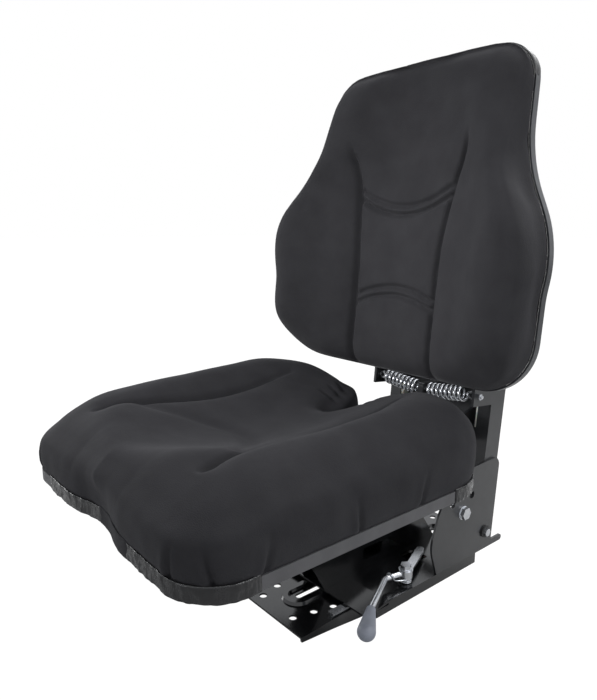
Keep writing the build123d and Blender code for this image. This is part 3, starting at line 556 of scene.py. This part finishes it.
def spring_material():
    """Drawn spring wire, slightly blued."""
    material, tree, shader = material_tree("spring_wire", (0.62, 0.64, 0.67), 0.28, 1.0)
    colour = ramp(tree, noise(tree, 160, 3), (0.48, 0.50, 0.54), (0.70, 0.71, 0.73))
    tree.links.new(colour, shader.inputs["Base Color"])
    tree.links.new(spread(tree, noise(tree, 500, 2), 0.18, 0.34), shader.inputs["Roughness"])
    bump(tree, shader, noise(tree, 1500, 1), 0.00003, 0.4)
    return material


def trim_material():
    """Grey plastic edging."""
    material, tree, shader = material_tree("grey_edging", (0.105, 0.105, 0.111), 0.42)
    colour = ramp(tree, noise(tree, 40, 4), (0.094, 0.094, 0.100), (0.117, 0.117, 0.124))
    tree.links.new(colour, shader.inputs["Base Color"])
    tree.links.new(spread(tree, noise(tree, 90, 3), 0.38, 0.52), shader.inputs["Roughness"])
    bump(tree, shader, noise(tree, 700, 2), 0.00008, 0.4)
    return material


def film_material():
    """Thin glossy black film, drawn tight and creased."""
    material, tree, shader = material_tree("black_film", (0.014, 0.014, 0.015), 0.2, coat_weight=0.2)
    colour = ramp(tree, noise(tree, 60, 4), (0.010, 0.010, 0.011), (0.020, 0.020, 0.022))
    tree.links.new(colour, shader.inputs["Base Color"])
    tree.links.new(spread(tree, noise(tree, 150, 3), 0.10, 0.26), shader.inputs["Roughness"])
    bump(tree, shader, noise(tree, 110, 4, (1, 1, 0.4)), 0.0045, 1.0)
    return material


def band_material():
    """Grey satin edging of the backrest."""
    material, tree, shader = material_tree("satin_edging", (0.075, 0.077, 0.082), 0.36)
    colour = ramp(tree, noise(tree, 45, 4), (0.065, 0.067, 0.072), (0.086, 0.088, 0.094))
    tree.links.new(colour, shader.inputs["Base Color"])
    tree.links.new(spread(tree, noise(tree, 110, 3), 0.26, 0.42), shader.inputs["Roughness"])
    bump(tree, shader, noise(tree, 800, 2), 0.00006, 0.4)
    return material


def shell_material():
    """Grained black moulded shell."""
    material, tree, shader = material_tree("black_shell", (0.030, 0.030, 0.032), 0.5)
    colour = ramp(tree, noise(tree, 30, 4), (0.026, 0.026, 0.028), (0.036, 0.036, 0.038))
    tree.links.new(colour, shader.inputs["Base Color"])
    bump(tree, shader, cells(tree, 620), 0.0003, 0.5)
    return material


def nylon_material():
    """Natural nylon, a little waxy."""
    material, tree, shader = material_tree("nylon", (0.62, 0.60, 0.54), 0.42, subsurface_weight=0.15)
    colour = ramp(tree, noise(tree, 70, 3), (0.57, 0.55, 0.49), (0.66, 0.64, 0.58))
    tree.links.new(colour, shader.inputs["Base Color"])
    bump(tree, shader, noise(tree, 600, 2), 0.0001, 0.4)
    return material


def rubber_material():
    """Moulded black rubber."""
    material, tree, shader = material_tree("rubber", (0.022, 0.022, 0.023), 0.62)
    colour = ramp(tree, noise(tree, 90, 4), (0.018, 0.018, 0.019), (0.030, 0.030, 0.031))
    tree.links.new(colour, shader.inputs["Base Color"])
    bump(tree, shader, noise(tree, 500, 3), 0.00015, 0.5)
    return material


def knob_material():
    """Grey moulded plastic with a fine matt skin."""
    material, tree, shader = material_tree("grey_knob", (0.33, 0.355, 0.42), 0.46)
    colour = ramp(tree, noise(tree, 60, 4), (0.305, 0.33, 0.39), (0.355, 0.38, 0.45))
    tree.links.new(colour, shader.inputs["Base Color"])
    bump(tree, shader, noise(tree, 1100, 2), 0.00008, 0.5)
    return material


finishes = {
    "black_paint": paint_material("black_enamel", 0.020, 0.30),
    "zinc": zinc_material(),
    "spring_steel": spring_material(),
    "fabric": fabric_material(),
    "edge_trim": trim_material(),
    "shell": shell_material(),
    "band": band_material(),
    "nylon": nylon_material(),
    "rubber": rubber_material(),
    "knob": knob_material(),
}
film = film_material()
# Darker, glossier copy of the enamel for the base plate, slide tray and centre tunnel: its darker tone
# is painted shade under the seat, its lower roughness is their own gloss
shaded_gloss_paint = paint_material("shaded_gloss_enamel", 0.0075, 0.15)
shaded_gloss_nodes = ("base_plate", "slide_tray", "centre_tunnel")

# Finish of the carried-over solids, with their edges eased; the parts under the seat take the darker
# enamel, whose dark tone is painted shade
edge_width = 0.0006
edge_angle = math.radians(35)
for row in frame["record"]["subparts"]:
    solid = frame["nodes"][row["node"]]
    solid.data.materials.clear()
    glossy = row["node"] in shaded_gloss_nodes
    solid.data.materials.append(shaded_gloss_paint if glossy else finishes[row["material_slot"]])
    bevel = solid.modifiers.new("edges", "BEVEL")
    bevel.width = edge_width
    bevel.segments = 2
    bevel.limit_method = "ANGLE"
    bevel.angle_limit = edge_angle
    bevel.harden_normals = True

# Seat cushion
pan_low, pan_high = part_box("seat_edge_trim")
pan_rim = pan_high[2]
seat_half = pan_high[0]
seat_front = pan_low[1]
seat_back = pan_high[1]
seat_corners = (
    (0, vee_tip),
    (vee_half, seat_back),
    (seat_half, seat_back),
    (seat_half, seat_front),
    (seat_dip_half, seat_front),
    (0, seat_front_middle),
    (-seat_dip_half, seat_front),
    (-seat_half, seat_front),
    (-seat_half, seat_back),
    (-vee_half, seat_back),
)
seat_radii = (
    vee_tip_radius,
    vee_mouth_radius,
    seat_back_radius,
    seat_front_radius,
    seat_dip_radius,
    seat_dip_radius,
    seat_dip_radius,
    seat_front_radius,
    seat_back_radius,
    vee_mouth_radius,
)
seat_edge = rounded_outline(seat_corners, seat_radii, outline_step)
seat_out = outline_normals(seat_edge)
edge_length = outline_step * len(seat_edge)


def place_on_edge(point):
    """Where along the seat's edge a point in plan is nearest, from 0 to 1."""
    return np.argmin(np.linalg.norm(seat_edge - np.array(point), axis=1)) / len(seat_edge)


def seat_cushion():
    """Padded seat with two long channels, a cross arc and gathers at its hem."""

    def held_at_rim(points):
        return smooth(pan_rim + held_height, pan_rim, points[:, 2])

    piece = soft_copy("seat_cushion", "seat_cover", held_at_rim)
    ease(piece, seat_rounds, smooth(pan_rim + 0.001, pan_rim + 0.014, points_of(piece)[:, 2]))
    p = points_of(piece)
    n = normals_of(piece)
    plan = p[:, :2].copy()
    rise = p[:, 2] - pan_rim
    top = smooth(0.15, 0.75, n[:, 2])
    lift = np.zeros(len(p))
    for side in SIDES.values():
        path = curve_through([(side * x, y) for x, y in seat_channel])
        d, t = nearest(plan, path)
        held = smooth(0, 0.07, t) * (1 - 0.75 * smooth(0.6, 1.0, t))
        lift -= held * (crease(d, seat_crease) + crease(d, seat_valley))
        for pleat in lobe_pleats:
            d, t = nearest(plan, np.array([(side * x, y) for x, y in pleat]))
            lift -= crease(d, lobe_crease) * smooth(1, 0.4, t)
    flank_x = seat_arc_flank[0] * seat_arc_half
    flank_y = seat_arc_apex + seat_arc_flank[1]
    arc = curve_through(
        [
            (-seat_arc_half, seat_arc_end),
            (-flank_x, flank_y),
            (0, seat_arc_apex),
            (flank_x, flank_y),
            (seat_arc_half, seat_arc_end),
        ]
    )
    d, t = nearest(plan, arc)
    lift -= crease(d, arc_crease)
    lift += 0.0010 * ripple(plan, 0.11, 3)
    hollow = smooth(0.160, 0.080, np.abs(plan[:, 0]))
    lift += hollow_fill * hollow * smooth(-0.50, -0.40, plan[:, 1]) * smooth(-0.04, -0.16, plan[:, 1])
    p[:, 2] += top * lift
    dip = np.clip(1 - np.abs(plan[:, 0]) / seat_dip_half, 0, 1) * (seat_front_middle - seat_front)
    p[:, 1] -= 0.75 * dip * smooth(0.015, 0.060, rise) * smooth(-0.36, -0.44, plan[:, 1])
    wall = smooth(0.75, 0.35, np.abs(n[:, 2])) * smooth(-0.001, 0.003, rise)
    d, t = nearest(plan, np.vstack([seat_edge, seat_edge[:1]]))
    swell = seat_bulge * np.sin(math.pi * np.clip(rise / seat_bulge_height, 0, 1)) ** 0.8
    swell -= crease(rise, hem_tuck)
    swell += 0.0007 * ripple(p, 0.035, 5)
    swell += lobe_swell * smooth(0.075, 0.050, np.abs(plan[:, 0])) * smooth(-0.105, -0.070, plan[:, 1])
    for side in SIDES.values():
        for i, (x, y) in enumerate(hem_pleats):
            along = (t - place_on_edge((side * x, y)) + 0.5) % 1 - 0.5
            off = along * edge_length - side * (0.25 if i % 2 else -0.1) * rise
            swell -= crease(off, hem_crease) * smooth(0.055, 0.012, rise)
            swell += crease(off - hem_fold_off, hem_fold) * smooth(0.05, 0.01, rise)
    flat = n.copy()
    flat[:, 2] = 0
    flat /= np.maximum(np.linalg.norm(flat, axis=1), 0.2)[:, None]
    p += (wall * swell)[:, None] * flat
    put_points(piece, p)
    mesh = piece.data
    bpy.data.objects.remove(piece)
    cover = new_piece("seat_cover", mesh, "seat", finishes["fabric"])
    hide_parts("seat_cushion")


seat_cushion()


def edge_strip(name, run, slot, material, seed, low, high, out, thick, crumple):
    """Strip along part of the seat's edge, uneven where it is crumpled."""
    count = len(seat_edge)
    start, stop = (int(place_on_edge(end) * count) for end in run)
    if stop < start:
        stop += count
    sections = []
    levels = np.linspace(0, 1, 9)
    for i in range(start, stop + 1):
        where = (i - start) / (stop - start)
        end = smooth(0, 0.06, where) * smooth(1, 0.94, where)
        place = seat_edge[i % count]
        way = seat_out[i % count]
        spot = np.column_stack([np.full(9, i * outline_step), levels * (high - low)])
        relief = crumple * (0.6 * ripple(spot, 0.020, seed) + 0.4 * ripple(spot, 0.009, seed + 1))
        hang = 0.35 * crumple * ripple(spot[:1], 0.05, seed + 2)[0]
        reach = (out + np.maximum(relief, -0.5 * out)) * (0.25 + 0.75 * end)
        z = pan_rim + low + levels * (high - low) + hang * (1 - levels)
        outer = [(*(place + way * r), h) for r, h in zip(reach, z)]
        inner = [(*(place + way * (0.0002 + 0.1 * thick)), h) for h in z[::-1]]
        sections.append(np.array(outer + inner))
    new_piece(name, strip(name, sections), "seat", material)


for i, (name, run) in enumerate(film_runs.items()):
    edge_strip(name, run, "edge_trim", film, 10 * i + 11, **film_shape)
edge_strip("seat_hem", hem_run, "fabric", finishes["fabric"], 51, **hem_shape)


# Backrest cushion
def back_cushion():
    """Padded backrest with side channels and two double-stitched arcs."""
    rear = (points_of(frame["nodes"]["backrest_cushion"]) @ back_way).max()

    def held_at_back(points):
        return smooth(held_height, 0.0, rear - points @ back_way)

    piece = soft_copy("backrest_cushion", "back_cover", held_at_back)
    p = points_of(piece)
    depth = rear - p @ back_way
    ease(piece, back_rounds, smooth(0.0, 0.030, depth))
    ease(piece, edge_rounds, smooth(0.035, 0.015, depth))
    p = points_of(piece)
    n = normals_of(piece)
    face = p[:, (0, 2)].copy()
    front = smooth(0.1, 0.6, -n[:, 1])
    sink = np.zeros(len(p))
    for side in SIDES.values():
        path = curve_through([(side * x, z) for x, z in back_channel])
        d, t = nearest(face, path)
        held = smooth(0, 0.12, t)
        sink += held * (crease(d, back_crease) + crease(d, back_valley))
    lines = []
    for apex, sewn in zip(smile_apexes, smile_depths):
        lines.append((smile_ends[0], smile_ends[1] - (smile_apexes[0] - apex), apex, sewn))
    for apex, sewn in zip(frown_apexes, frown_depths):
        lines.append((frown_ends[0], frown_ends[1] - (frown_apexes[0] - apex), apex, sewn))
    for half, end, apex, sewn in lines:
        x = np.linspace(-half, half, 41)
        path = np.column_stack([x, apex + (end - apex) * (x / half) ** 2])
        d, t = nearest(face, path)
        sink += crease(d, (sewn, stitch_width)) * smooth(0, 0.05, t) * smooth(1, 0.95, t)
    sink += 0.0010 * ripple(face, 0.12, 8)
    shoulder = smooth(0.09, 0.19, np.abs(face[:, 0]))
    upper = smooth(0.56, 0.71, face[:, 1])
    sink += shoulder * (shoulder_set + shoulder_set_upper * upper) + (1 - shoulder) * upper_set * upper
    sink -= middle_bulge * smooth(0.075, 0.0, np.abs(face[:, 0])) * (1 - upper)
    p[:, 1] += front * sink
    put_points(piece, p)
    mesh = piece.data
    bpy.data.objects.remove(piece)
    cover = new_piece("back_cover", mesh, "seat", finishes["fabric"])
    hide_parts("backrest_cushion")


back_cushion()


def suspension_spring(name, side):
    """Smooth coil that stretches from the post's eye bolt to the carriage's anchor."""
    node = f"suspension_spring_{name}"
    low, high = (Vector(c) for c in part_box(node))
    middle = (low + high) / 2
    half = (high.x - low.x) / 2
    tilt = math.radians(spring_slope)
    way = np.array([side * math.cos(tilt), 0, math.sin(tilt)])
    over = np.array([0, 1, 0])
    up = np.cross(way, over)
    inner = np.array(middle) - way * half / math.cos(tilt)
    length = 2 * half / math.cos(tilt)
    run = length - 2 * spring_lead
    path = [inner, inner + way * spring_lead * 0.4]
    for t in np.linspace(0, 1, spring_turns * 24 + 1):
        a = 2 * math.pi * spring_turns * t
        ring = over * math.cos(a) + up * math.sin(a)
        path.append(inner + way * (spring_lead + run * t) + ring * spring_mean / 2)
    path += [inner + way * (length - spring_lead * 0.4), inner + way * length]
    wire = tube(node, path, spring_wire / 2)
    piece = new_piece(node + "_coil", wire, None, finishes["spring_steel"])
    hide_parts(node)
    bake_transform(piece)


for name, side in SIDES.items():
    suspension_spring(name, side)


def return_spring():
    """Coil round the lever's spacer, with a foot on the tray and a leg hooked over the lever's rod."""
    x, y = lever_pivot
    low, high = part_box("lever_spacer")
    base = low[2] + return_wire / 2
    path = [(x + across, y + along, base) for across, along in return_foot]
    climb = high[2] - base - return_wire
    for t in np.linspace(0, 1, 73):
        a = math.pi / 2 - 2 * math.pi * return_turns * t
        across = return_mean / 2 * math.cos(a)
        along = return_mean / 2 * math.sin(a)
        path.append((x + across, y + along, base + climb * t))
    path += list(curve_through([path[-1], *return_hook], 8))[1:]
    wire = tube("lever_return_spring", path, return_wire / 2, 8)
    piece = new_piece("lever_return_wire", wire, None, finishes["spring_steel"])
    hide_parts("lever_return_spring")
    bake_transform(piece)


return_spring()


def band_cap(name, side):
    """Dark film wrapped over the backrest's edging at a top corner."""
    sections = []
    for t in np.linspace(0, 1, 19):
        turn = math.radians(cap_turn[0] + (cap_turn[1] - cap_turn[0]) * t)
        way = np.array([math.cos(turn), math.sin(turn)])
        proud = cap_proud * (0.45 + 0.55 * smooth(0, 0.3, t) * smooth(1, 0.6, t))
        ring = []
        for out, depth in zip((cap_lift, proud, proud * 1.2, proud, cap_lift), cap_depths):
            x, s = np.array(cap_centre) + (cap_radius + out) * way
            r = band_depth + depth
            ring.append((side * x, *(np.array(post_foot) + r * back_way[1:] + s * post_way)))
        sections.append(np.array(ring))
    new_piece(name, strip(name, sections), "seat", finishes["shell"])


for name, side in SIDES.items():
    band_cap(f"band_cap_{name}", side)


# Studio
def area_light(name, place, target, size, power, cone):
    """Soft lamp aimed at a point, its cone in degrees."""
    lamp = bpy.data.lights.new(name, "AREA")
    lamp.shape = "DISK"
    lamp.size = size
    lamp.energy = power
    lamp.spread = math.radians(cone)
    holder = bpy.data.objects.new(name, lamp)
    holder.location = place
    holder.rotation_euler = (Vector(target) - Vector(place)).to_track_quat("-Z", "Y").to_euler()
    bpy.context.collection.objects.link(holder)


def seen_directly(tree):
    """1 for rays straight from the camera."""
    return tree.nodes.new("ShaderNodeLightPath").outputs["Is Camera Ray"]


def studio():
    """Pale floor, white surround and soft lamps."""
    size = floor_size
    corners = [(-size, -size, 0), (size, -size, 0), (size, size, 0), (-size, size, 0)]
    floor = bpy.data.objects.new("floor", mesh_of("floor", corners, [(0, 1, 2, 3)]))
    floor.location.z = cad_box[0][2] - floor_gap
    bpy.context.collection.objects.link(floor)
    material = bpy.data.materials.new("pale_floor")
    material.use_nodes = True
    tree = material.node_tree
    shader = tree.nodes["Principled BSDF"]
    shader.inputs["Base Color"].default_value = (0.6, 0.6, 0.6, 1)
    shader.inputs["Roughness"].default_value = 0.9
    glow = tree.nodes.new("ShaderNodeEmission")
    glow.inputs["Strength"].default_value = floor_glow
    mix = tree.nodes.new("ShaderNodeMixShader")
    share = tree.nodes.new("ShaderNodeMath")
    share.operation = "MULTIPLY"
    share.inputs[1].default_value = floor_glow_share
    tree.links.new(seen_directly(tree), share.inputs[0])
    tree.links.new(share.outputs[0], mix.inputs["Fac"])
    tree.links.new(shader.outputs[0], mix.inputs[1])
    tree.links.new(glow.outputs[0], mix.inputs[2])
    tree.links.new(mix.outputs[0], tree.nodes["Material Output"].inputs["Surface"])
    floor.data.materials.append(material)

    world = bpy.data.worlds.new("studio")
    bpy.context.scene.world = world
    world.use_nodes = True
    tree = world.node_tree
    around = tree.nodes["Background"]
    around.inputs["Color"].default_value = (0.95, 0.97, 1.0, 1)
    mirrored = tree.nodes.new("ShaderNodeMath")
    mirrored.operation = "MULTIPLY_ADD"
    mirrored.inputs[1].default_value = surround_mirrored
    mirrored.inputs[2].default_value = surround
    tree.links.new(tree.nodes.new("ShaderNodeLightPath").outputs["Is Glossy Ray"], mirrored.inputs[0])
    tree.links.new(mirrored.outputs[0], around.inputs["Strength"])
    white = tree.nodes.new("ShaderNodeBackground")
    white.inputs["Color"].default_value = (1, 1, 1, 1)
    mix = tree.nodes.new("ShaderNodeMixShader")
    tree.links.new(seen_directly(tree), mix.inputs["Fac"])
    tree.links.new(around.outputs[0], mix.inputs[1])
    tree.links.new(white.outputs[0], mix.inputs[2])
    tree.links.new(mix.outputs[0], tree.nodes["World Output"].inputs["Surface"])

    for name, lamp in lamps.items():
        area_light(name, *lamp)


studio()

# Camera
lens = bpy.data.cameras.new("camera")
lens.lens = camera_lens
camera = bpy.data.objects.new("camera", lens)
camera.location = camera_place
camera.rotation_euler = [math.radians(a) for a in camera_turn]
bpy.context.collection.objects.link(camera)
bpy.context.scene.camera = camera
bpy.context.scene.view_settings.view_transform = "Standard"
